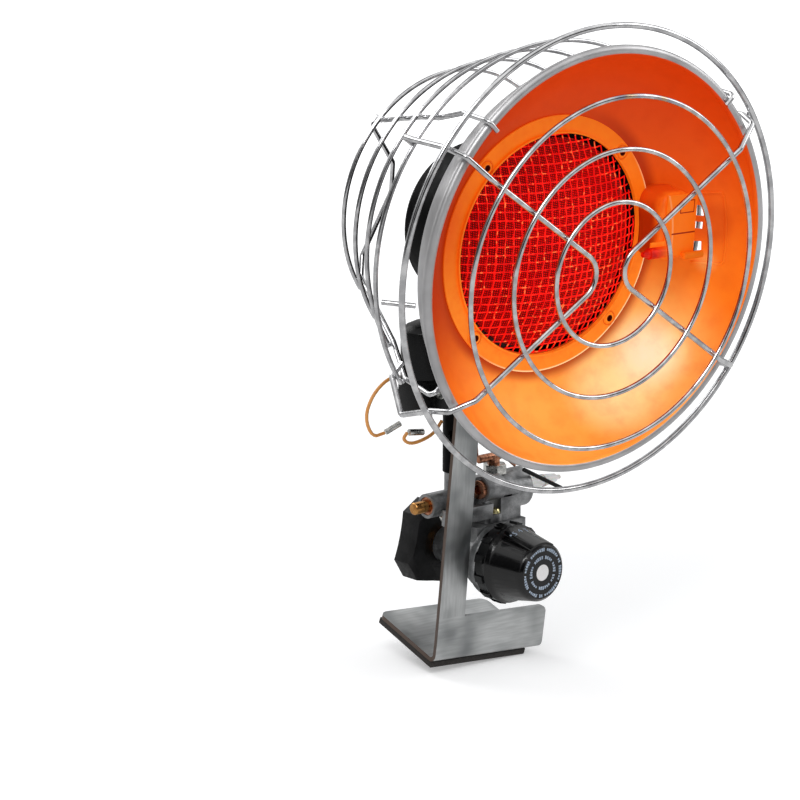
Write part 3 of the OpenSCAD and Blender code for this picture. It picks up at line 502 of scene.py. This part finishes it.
# The seams are painted as dark lines, as the shade in their creases.
for seam_across, seam_up, half_wide, half_tall in POCKET_SEAMS:
    past_sides = [
        plate.calc("SUBTRACT", plate.calc("ABSOLUTE", plate.calc("SUBTRACT", way, middle)), half)
        for way, middle, half in ((plate.across, seam_across, half_wide), (plate.up, seam_up, half_tall))
    ]
    off_seam = plate.calc("ABSOLUTE", plate.calc("MAXIMUM", *past_sides))
    seam = plate.calc("MULTIPLY", on_pocket, plate.ramp(off_seam, 0.42, 0.2))
    plate_tone = plate.mix(seam, plate_tone, (150, 40, 2))
plate.lit(plate_tone, BURNER_LIGHT)
plate.set(Metallic=0.1, Specular_IOR_Level=0.18)
plate.set(Roughness=plate.ramp(plate.noise(2), 0.2, 0.8, 0.3, 0.45))
plate.bump(plate.noise(7, 2), 0.08)
dress("burner_plate burner_eyelets", plate, split=30)

ridge = []
for k in range(8):
    a = math.pi * k / 4
    ridge.append((PRESSED_R + PRESSED_ROUND * math.cos(a), PLATE_FRONT + PRESSED_ROUND * math.sin(a)))
ring_points, ring_faces = [], []
for quarter in (45, 135, 225, 315):
    a = math.radians(quarter)
    eyelet_at = (EYELET_CIRCLE * math.cos(a), EYELET_CIRCLE * math.sin(a) + SCREEN_Z)
    lathe(ridge, PRESSED_SIDES, ring_points, ring_faces, closed=True, axis=eyelet_at)
make_piece("eyelet_rings", ring_points, ring_faces, plate, slot="plate")

# The burner cup: a deep-drawn steel drum behind the reflector, in semi-gloss black
# heat-proof enamel, with the mixing tube below it and a plain steel baffle inside.


def mottled(name, dark, light, patch, gloss, grain, spread=None, **skin):
    """Two tones in patches (size, detail), gloss (size, detail, least, most) and grain."""
    finish = Finish(name)
    patches = finish.noise(*patch)
    finish.set(Base_Color=finish.mix(finish.ramp(patches, *spread) if spread else patches, dark, light))
    finish.set(Roughness=finish.ramp(finish.noise(*gloss[:2]), 0.3, 0.7, *gloss[2:]), **skin)
    finish.bump(finish.noise(*grain[:2]), grain[2])
    return finish


drum_black = mottled(
    "black_enamel", (3, 3, 4), (9, 9, 10), patch=(12, 3), gloss=(3, 4, 0.3, 0.48), grain=(0.7, 4, 0.03),
    spread=(0.35, 0.7), Specular_IOR_Level=0.06,
)
dull_steel = mottled(
    "dull_steel", (60, 55, 52), (110, 106, 102),
    patch=(2, 4), gloss=(1.4, 3, 0.4, 0.6), grain=(0.5, 3, 0.04),
    Metallic=0.9,
)
dress("burner_cup mixing_tube", drum_black, split=30)
dress("diffuser_plate", dull_steel, split=30)

# The guard: rings across the mouth, two crossing wires and a big front ring, with four
# rings and two frames behind. All are drawn steel wire, spot welded and chrome plated.


def plated_wire(name):
    """Bright plated wire, and its own two greys, still to be joined to its colour."""
    finish = Finish(name)
    greys = finish.mix(finish.ramp(finish.noise(6, 4), 0.35, 0.7), (186, 186, 188), (226, 226, 227))
    finish.set(Metallic=1, Roughness=finish.ramp(finish.noise(5, 3), 0.3, 0.75, 0.1, 0.18))
    finish.bump(finish.noise(7, 2), 0.05)
    return finish, greys


chrome, chrome_greys = plated_wire("chromed_wire")
chrome.set(Base_Color=chrome_greys)
dress("front_ring face_ring_middle face_ring_inner cross_wire_right cross_wire_left", chrome, split=60)
dress("side_ring_1 side_ring_2 side_ring_3 side_ring_4", chrome, split=60)
dress("rear_frame_right rear_frame_left side_struts", chrome, split=60)

# The largest ring across the mouth runs the hottest: its top has taken the blue and
# straw tints of heated plating.
HOTTEST_AT = (8, -12.6, 84)
tinted, tinted_greys = plated_wire("heat_tinted_wire")
tinted.in_head()
cloudy = tinted.ramp(tinted.noise(14, 2), 0.3, 0.6)
hottest = tinted.calc("MULTIPLY", tinted.spot(HOTTEST_AT, 8, 44), cloudy)
heat_tints = tinted.mix(tinted.ramp(tinted.noise(7, 1), 0.42, 0.6), (96, 92, 140), (178, 140, 82))
tinted.set(Base_Color=tinted.mix(tinted.calc("MULTIPLY", hottest, 0.75), tinted_greys, heat_tints))
dress("face_ring_outer", tinted, split=60)

# Where wires cross they are spot welded: the metal has run into a small lumpy bead
# at each crossing, longer along the ring than across it.
WELD_ANGLE = math.radians(34.7)
FACE_MIDDLE = Vector((0, -11.2, -3.6))
FACE_RINGS = (88.8, 62.6, 36.3)
FRONT_MIDDLE = Vector((0, 3.9, -1))
FRONT_RING = 116.3
FACE_BEAD, FRONT_BEAD, REAR_BEAD = 0.95, 1.0, 0.85
# Rear rings: radius, how far back and how high their middle lies.
REAR_RINGS = ((104, 43, -2.4), (91, 68, 1), (80, 92.7, 2), (68.8, 118, 3))
REAR_ANGLES = (45, -36)
REAR_INSET = 1.3
BEAD_LUMPS, LUMP_PITCH = 0.16, 1.8
BEAD_STRETCH = 0.6
weld_points, weld_faces = [], []


def bead(middle, out, size):
    """A lumpy weld bead about a point of a ring, with out pointing away from its middle."""
    ball = bmesh.new()
    bmesh.ops.create_icosphere(ball, subdivisions=2, radius=1)
    start = len(weld_points)
    number = start // len(ball.verts)
    along_ring = Vector((-out.z, 0, out.x))
    for v in ball.verts:
        p = v.co * (1 + BEAD_LUMPS * noise.noise(v.co * LUMP_PITCH + Vector((number, 0, 0))))
        p += along_ring * p.dot(along_ring) * BEAD_STRETCH
        weld_points.append(middle + p * size)
    weld_faces.extend(tuple(start + v.index for v in f.verts) for f in ball.faces)
    ball.free()


for side in (-1, 1):
    for rise in (-1, 1):
        out = Vector((side * math.cos(WELD_ANGLE), 0, rise * math.sin(WELD_ANGLE)))
        for ring_r in FACE_RINGS:
            bead(FACE_MIDDLE + out * ring_r, out, FACE_BEAD)
        bead(FRONT_MIDDLE + out * FRONT_RING, out, FRONT_BEAD)
for ring_r, ring_y, ring_z in REAR_RINGS:
    for side in (-1, 1):
        for angle in REAR_ANGLES:
            out = Vector((side * math.cos(math.radians(angle)), 0, math.sin(math.radians(angle))))
            bead(Vector((0, ring_y, ring_z)) + out * (ring_r - REAR_INSET), out, REAR_BEAD)
make_piece("weld_beads", weld_points, weld_faces, chrome, slot="wire")

# The heat sensor: a thin metal probe on a small folded plate, in a pocket of the bowl's
# right wall, with its red-hot tip in front of the screen.
dress("sensor_bracket", plate, soften=0.25, split=40)
probe = Finish("red_hot_probe")
probe.in_head()
probe_red = probe.mix(probe.ramp(probe.noise(3, 3), 0.3, 0.7), (190, 12, 2), (226, 34, 4))
probe.lit(probe.mix(probe.ramp(probe.across, 50, 62), probe_red, (236, 106, 16)), BURNER_LIGHT)
probe.set(Metallic=0.2, Specular_IOR_Level=0.3)
probe.set(Roughness=probe.ramp(probe.noise(2), 0.3, 0.7, 0.35, 0.55))
probe.bump(probe.noise(0.8, 3), 0.05)
dress("thermocouple", probe, split=30)

# The pocket's lip: the bowl's wall is turned up in a soft fold round the pocket. The
# wall is a round of the bowl's own section, so the fold follows it.
WALL_ROUND = 50.0
WALL_ROUND_R, WALL_ROUND_BACK = 54.29, -8.88
LIP_CORNERS = [(12.6, 28.5), (12.6, 17.5), (11.2, 16.2), (-8.4, 14.4), (-9.6, 15.6), (-11, 27.5)]
LIP_LIFT = 0.1
LIP_STEPS = 8
LIP_R, LIP_SIDES = 0.75, 10


def lip_point(degrees, back):
    """A place just inside the bowl's wall, by its angle and how far back it lies."""
    radius = WALL_ROUND_R + math.sqrt(WALL_ROUND**2 - (back - WALL_ROUND_BACK) ** 2) - LIP_LIFT
    angle = math.radians(degrees)
    return (radius * math.cos(angle), back, radius * math.sin(angle))


lip_path = []
for (a0, b0), (a1, b1) in zip(LIP_CORNERS, LIP_CORNERS[1:]):
    for step in range(LIP_STEPS):
        t = step / LIP_STEPS
        lip_path.append(lip_point(a0 + (a1 - a0) * t, b0 + (b1 - b0) * t))
lip_path.append(lip_point(*LIP_CORNERS[-1]))
lip_points, lip_faces = [], []
tube(lip_path, LIP_R, LIP_SIDES, lip_points, lip_faces)
make_piece("pocket_lip", lip_points, lip_faces, bowl, slot="dish")

# The pocket's boss: the pressing stands into the bowl as a rounded box, of the same
# steel as the bowl and in one piece with it, and painted darker towards its foot as shade.
BOSS_MIDDLE, BOSS_HALF, BOSS_CORNER = (69, 5), (10.3, 17.6), 7.5
BOSS_RIGHT = 79.0
BOSS_DEEPEST = 39.5
BOSS_BURIED = 0.3
BOSS_SIDES = 64
# Rings of the boss, from its flat top down: how far in and how far back.
BOSS_RINGS = (
    (4.0, 21.25), (2.2, 21.4), (0.9, 22.1), (0.2, 23.2),
    (0, 25), (-0.2, 28), (-0.5, 33), (-0.9, 44),
)
boss = Finish("lit_boss")
boss.in_head()
# Painted shade: dark towards the boss's foot and lighter higher up. The boss glows with painted burner light.
boss_foot_shade = boss.mix(boss.ramp(boss.up, 8, 20), (166, 46, 3), (214, 78, 12))
boss_front = boss.mix(boss.ramp(boss.noise(5, 3), 0.3, 0.8), (242, 120, 24), (226, 92, 12))
boss.lit(boss.mix(boss.ramp(boss.back, 22, 29), boss_front, boss_foot_shade), 0.24)
boss.set(Specular_IOR_Level=0.2, Roughness=boss.ramp(boss.noise(6), 0.2, 0.8, 0.36, 0.46))
boss.bump(boss.noise(5, 2), 0.1)
boss_points, boss_faces = [], []
for inset, back in BOSS_RINGS:
    for k in range(BOSS_SIDES):
        a = 2 * math.pi * (k + 0.5) / BOSS_SIDES
        x, z = [
            middle + math.copysign(half - BOSS_CORNER, part) + (BOSS_CORNER - inset) * part
            for middle, half, part in zip(BOSS_MIDDLE, BOSS_HALF, (math.cos(a), math.sin(a)))
        ]
        x = min(x, BOSS_RIGHT)
        past_round = max(0, math.hypot(x, z) - WALL_ROUND_R)
        wall_back = WALL_ROUND_BACK + math.sqrt(WALL_ROUND**2 - past_round**2)
        boss_points.append((x, min(back, wall_back + BOSS_BURIED, BOSS_DEEPEST), z))
for ring in range(len(BOSS_RINGS) - 1):
    for k in range(BOSS_SIDES):
        a, b = ring * BOSS_SIDES + k, ring * BOSS_SIDES + (k + 1) % BOSS_SIDES
        boss_faces.append((a, b, b + BOSS_SIDES, a + BOSS_SIDES))
boss_faces.append(tuple(range(BOSS_SIDES)))
boss_faces.append(tuple(reversed(range(len(boss_points) - BOSS_SIDES, len(boss_points)))))
make_piece("pocket_boss", boss_points, boss_faces, boss, slot="dish")

# The sensor's screw: a thin steel screw with a rolled thread, which lies across the
# pocket's foot and holds the folded plate.
SCREW_AT = (85, 18, -10)
THREAD_PITCH, THREAD_TURNS = 0.7, 18
THREAD_ROOT, THREAD_CREST = 1.5, 1.95
SCREW_LENGTH, SCREW_SIDES = 13, 20
SCREW_TIP = 0.05
thread_profile = [(SCREW_TIP, 0)]
for turn in range(THREAD_TURNS):
    thread_profile.append((THREAD_ROOT, THREAD_PITCH * turn))
    thread_profile.append((THREAD_CREST, THREAD_PITCH * turn + THREAD_PITCH / 2))
thread_profile += [(THREAD_ROOT, THREAD_PITCH * THREAD_TURNS), (SCREW_TIP, SCREW_LENGTH)]
laid_across = head @ Matrix.Translation(SCREW_AT) @ Matrix.Rotation(math.radians(90), 4, "Z")
thread_shape = lathe(thread_profile, SCREW_SIDES, [], [])
sensor_screw = make_piece("sensor_screw_thread", *thread_shape, plate, place=laid_across, slot="plate")
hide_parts("sensor_screw")

# The bracket: one strip of galvanised sheet, sheared and folded into a foot, with the
# rolled grain of the sheet running up it and bare brown metal on its cut edges.
FOOT_GRAIN_BELOW, FOOT_GRAIN_ABOVE = -203.5, -202.5
galvanised = Finish("galvanised_sheet")
galvanised.in_head()
up_grain = galvanised.noise(1.4, 5, galvanised.stretched((1, 1, 0.06)))
level_grain = galvanised.noise(1.4, 5, galvanised.stretched((0.06, 1, 1)))
on_strip = galvanised.ramp(galvanised.up, FOOT_GRAIN_BELOW, FOOT_GRAIN_ABOVE)
on_foot = galvanised.calc("SUBTRACT", 1, on_strip)
strip_grain = galvanised.calc("MULTIPLY", up_grain, on_strip)
foot_grain = galvanised.calc("MULTIPLY", level_grain, on_foot)
grain = galvanised.calc("ADD", strip_grain, foot_grain)
bloom = galvanised.noise(26, 2)
sheet_tone = galvanised.mix(galvanised.ramp(bloom, 0.3, 0.7), (128, 131, 132), (206, 208, 208))
sheet_tone = galvanised.mix(galvanised.ramp(grain, 0.3, 0.75, 0, 0.3), sheet_tone, (120, 122, 122))
sideways = galvanised.plug(galvanised.add("SeparateXYZ"), {0: galvanised.normal}).outputs[0]
cut_edge = galvanised.ramp(galvanised.calc("ABSOLUTE", sideways), 0.7, 0.9)
galvanised.set(Base_Color=galvanised.mix(cut_edge, sheet_tone, (100, 86, 78)), Metallic=0.85)
galvanised.set(Roughness=galvanised.ramp(bloom, 0.25, 0.75, 0.3, 0.46))
galvanised.bump(grain, 0.025)
dress("support_bracket", galvanised, soften=0.3)

# The foot's pad: a piece of black rubber glued under the foot, which keeps the steel
# off the cylinder.
rubber = mottled(
    "foot_rubber", (26, 24, 23), (52, 47, 44), patch=(2.5, 4), gloss=(1.2, 3, 0.7, 0.9), grain=(0.6, 4, 0.1)
)
dress("foot_pad", rubber, soften=0.4)

# Screws, nuts, spade connectors and the magnet's ring: small turned and pressed steel
# parts, bright zinc plated.
zinc = mottled(
    "zinc_plated_steel", (176, 176, 172), (222, 222, 218), patch=(2.4, 3), gloss=(1.2, 3, 0.18, 0.34),
    grain=(0.6, 3, 0.03), spread=(0.35, 0.65), Metallic=1,
)
dress("bracket_screws bracket_nuts switch_screw spade_connectors magnet_ring junction_nut", zinc, soften=0.2)
dress("lead_crimp", zinc, split=30)

# The regulator and the safety valve: die-cast bodies and a round cover, satin grey with
# a fine sandy skin, with darker specks where the metal has flowed.
cast = Finish("die_cast_grey")
sand = cast.noise(0.55, 5)
cast_tone = cast.mix(cast.ramp(cast.noise(7, 4), 0.3, 0.7), (116, 117, 118), (168, 169, 170))
cast_tone = cast.mix(cast.ramp(sand, 0.35, 0.7, 0, 0.35), cast_tone, (92, 92, 94))
cast.set(Base_Color=cast_tone, Metallic=0.8)
cast.set(Roughness=cast.ramp(cast.noise(2, 4), 0.3, 0.7, 0.32, 0.5))
cast.bump(sand, 0.06)
dress("regulator_body front_cover valve_body", cast, soften=0.35)

# The diaphragm: a disc of rubberised cloth, clamped between the regulator's body and
# its cover, with only its brown edge in sight.
cloth = mottled(
    "diaphragm_cloth", (96, 62, 40), (134, 92, 62),
    patch=(1.2, 4), gloss=(1, 3, 0.6, 0.8), grain=(0.4, 3, 0.05),
)
dress("diaphragm", cloth)

# The brass parts: the adjusting stem, the jet, the inlet and the push pin are turned
# from bar, and fine tool marks run round them.
brass = Finish("brass")
worn = brass.noise(3.4, 4)
brass.set(Base_Color=brass.mix(brass.ramp(worn, 0.3, 0.7), (166, 112, 58), (214, 160, 96)))
brass.set(Metallic=1, Roughness=brass.ramp(worn, 0.3, 0.7, 0.2, 0.36))
brass.bump(brass.noise(0.8, 4, brass.stretched((0.1, 1, 1))), 0.04)
dress("adjusting_stem gas_jet inlet_nipple", brass, split=35)
dress("push_pin", brass, soften=0.15)

# The control knob: moulded gloss black plastic with a matte face, and a raised pad for
# its scale. It is pressed on the adjusting stem.
knob_black = Finish("gloss_black_plastic")
knob_black.set(Base_Color=knob_black.mix(knob_black.noise(5, 3), (4, 4, 5), (11, 11, 12)))
knob_black.set(Specular_IOR_Level=0.3, Coat_Weight=0.35, Coat_Roughness=0.06)
forward = knob_black.plug(knob_black.add("SeparateXYZ"), {0: knob_black.normal}).outputs[1]
matte_face = knob_black.calc("MULTIPLY", knob_black.ramp(forward, -0.9, -0.98), 0.35)
gloss = knob_black.ramp(knob_black.noise(2.5, 4), 0.3, 0.7, 0.1, 0.2)
knob_black.set(Roughness=knob_black.calc("ADD", gloss, matte_face))
knob_black.bump(knob_black.noise(0.5, 3), 0.03)
dress("control_knob", knob_black, soften=0.7)

# The print on the knob's face: two rings of pale ink marks, grouped like words but
# with no letters in them. Each mark is two strokes and a bar.
FACE_AT = -96.4
# Rings of marks: radius, places round it, and the places left blank between words.
WORD_RINGS = (
    (12.2, 58, (7, 10, 17, 26, 29, 35, 42, 48, 57)),
    (8.1, 38, (4, 9, 13, 20, 25, 31, 37)),
)
FIRST_MARK = 75
MARK_TALL, MARK_VARIES, MARK_LEAN = 0.72, 0.2, 0.22
STROKES = ((-0.3, 0.15), (0.22, 0.13))
MARK_TURNS, LEAN_TURNS, BAR_TURNS = 7, 5, 3
BAR_HALF, BAR_THICK = 0.4, 0.24
INK_PROUD, INK_SUNK, BAR_PROUD = 0.07, 0.05, 0.08
object_frame = Matrix.Scale(MM, 4)
print_white = mottled(
    "knob_print", (150, 168, 190), (206, 220, 236),
    patch=(0.6, 3), gloss=(1, 3, 0.45, 0.6), grain=(0.3, 2, 0.02),
    spread=(0.3, 0.7),
)
mark_points, mark_faces = [], []


def slab(corners, proud):
    """A thin flat printed mark, from its outline on the knob's face."""
    start, many = len(mark_points), len(corners)
    for y in (FACE_AT - proud, FACE_AT + INK_SUNK):
        mark_points.extend((x, y, z) for x, z in corners)
    mark_faces.append(tuple(start + k for k in range(many)))
    mark_faces.append(tuple(start + many + k for k in reversed(range(many))))
    for k in range(many):
        j = (k + 1) % many
        mark_faces.append((start + k, start + j, start + many + j, start + many + k))


for ring_r, places, blanks in WORD_RINGS:
    for k in range(places):
        if k in blanks:
            continue
        a = math.radians(FIRST_MARK - 360 * k / places)
        wide, out = Vector((-math.sin(a), math.cos(a))), Vector((math.cos(a), math.sin(a)))
        tall = MARK_TALL + MARK_VARIES * math.sin(MARK_TURNS * k + ring_r)
        lean = MARK_LEAN * math.sin(LEAN_TURNS * k + ring_r)
        middle = out * ring_r
        for shift, half in STROKES:
            top = middle + wide * shift + out * tall
            foot = middle + wide * shift - out * tall
            ends = [top + wide * (lean + half), top + wide * (lean - half)]
            slab(ends + [foot - wide * half, foot + wide * half], INK_PROUD)
        bar = middle + out * (tall / 2 * math.sin(BAR_TURNS * k))
        left, right, thick = bar - wide * BAR_HALF, bar + wide * BAR_HALF, out * BAR_THICK
        slab([right, left, left + thick, right + thick], BAR_PROUD)
make_piece("face_print", mark_points, mark_faces, print_white, "knob", object_frame, "dot", smooth=False)

# The scale on the knob's pad: figures in the same ink, bent round the pad's cone.
# Each is set by its angle from the top and how far back it stands.
PAD_FIGURES = (("\u2022", 21.5, -81.2), ("5", 14, -81.6), ("4", 1, -80.8), ("3", -12, -80.6))
FIGURE_SIZE = 4.6
FIGURE_THICK = 0.06
PAD_FRONT_R, PAD_SPREAD, PAD_LENGTH = 15.62, 4.0, 21.6
PAD_LIFT = 0.04
number_points, number_faces = [], []
for figure, angle, back in PAD_FIGURES:
    letters = bpy.data.curves.new("figure", "FONT")
    letters.body = figure
    letters.size = FIGURE_SIZE
    letters.extrude = FIGURE_THICK
    letters.align_x = "CENTER"
    shape = bpy.data.objects.new("figure", letters)
    bpy.context.scene.collection.objects.link(shape)
    flat = bpy.data.meshes.new_from_object(shape.evaluated_get(bpy.context.evaluated_depsgraph_get()))
    bpy.data.objects.remove(shape)
    start = len(number_points)
    for v in flat.vertices:
        y = back + v.co.y
        pad_r = PAD_FRONT_R + PAD_SPREAD * (y - FACE_AT) / PAD_LENGTH
        round_pad = math.radians(90 + angle) - v.co.x / pad_r
        out = pad_r + PAD_LIFT + v.co.z
        number_points.append((out * math.cos(round_pad), y, out * math.sin(round_pad)))
    number_faces.extend(tuple(start + k for k in f.vertices) for f in flat.polygons)
make_piece("pad_numbers", number_points, number_faces, print_white, "knob", object_frame, "dot", smooth=False)

# The dot in the middle of the knob's face is a small disc of off-white plastic, set in
# flush over the end of the stem.
dot_white = mottled(
    "dot_white", (212, 210, 208), (240, 239, 238),
    patch=(0.5, 4), gloss=(0.8, 3, 0.4, 0.6), grain=(0.4, 3, 0.05),
)
dress("knob_dot", dot_white)

# The coupling nut: a thick moulded hand nut in matte black with hollowed sides to grip,
# over the brass inlet and its rubber seal.
nut_black = mottled(
    "matte_black_nut", (14, 14, 15), (26, 26, 27),
    patch=(6, 4), gloss=(1.6, 4, 0.42, 0.6), grain=(0.5, 4, 0.05),
    spread=(0.3, 0.7), Specular_IOR_Level=0.22,
)
dress("coupling_nut", nut_black, soften=0.7)
dress("inlet_seal", rubber)

# The valve's screws hold its halves together: small steel screws, yellow zinc plated.
# Its plug, bush, joint and two short leads are copper, darker where it has stained.
yellow_zinc = mottled(
    "yellow_zinc", (150, 138, 84), (230, 220, 168), patch=(1.6, 3), gloss=(0.9, 3, 0.14, 0.3),
    grain=(0.5, 3, 0.03), spread=(0.35, 0.65), Metallic=1,
)
dress("valve_screws", yellow_zinc, soften=0.12)
copper = mottled(
    "copper", (140, 88, 64), (206, 148, 118),
    patch=(2.2, 4), gloss=(2.2, 4, 0.2, 0.42), grain=(0.6, 4, 0.04),
    spread=(0.3, 0.7), Metallic=1,
)
dress("gallery_plug junction_fitting pin_bush", copper, soften=0.2)
dress("copper_lead copper_tail", copper, split=60)

# The magnet's cap and the boot on its lead are moulded white plastic, pushed on. A thin
# black sleeve runs beside the valve.
white_plastic = mottled(
    "white_plastic", (226, 226, 224), (246, 246, 244),
    patch=(4, 3), gloss=(2, 3, 0.3, 0.45), grain=(0.8, 3, 0.04),
    Subsurface_Weight=0.15, Subsurface_Scale=0.002,
)
dress("magnet_cap lead_boot", white_plastic, split=35)
sleeve = mottled(
    "black_sleeve", (10, 10, 11), (26, 26, 28),
    patch=(0.9, 4), gloss=(0.9, 4, 0.5, 0.7), grain=(0.9, 4, 0.08),
    Specular_IOR_Level=0.2,
)
dress("sleeve_rod", sleeve)

# The tilt switch: a moulded black can in a clip-on base. Two leads in orange insulation
# loop beside it, one to a crimp and one to a spade connector.
can_black = mottled(
    "tilt_switch_black", (5, 5, 6), (13, 13, 14),
    patch=(6, 3), gloss=(2.4, 4, 0.2, 0.34), grain=(0.7, 3, 0.04),
    Specular_IOR_Level=0.2,
)
dress("tilt_switch switch_base", can_black, soften=0.3, split=35)
insulation = mottled(
    "orange_insulation", (206, 132, 58), (232, 166, 92),
    patch=(5, 3), gloss=(2, 3, 0.35, 0.5), grain=(0.7, 3, 0.05),
)
dress("can_lead loop_lead", insulation, split=60)
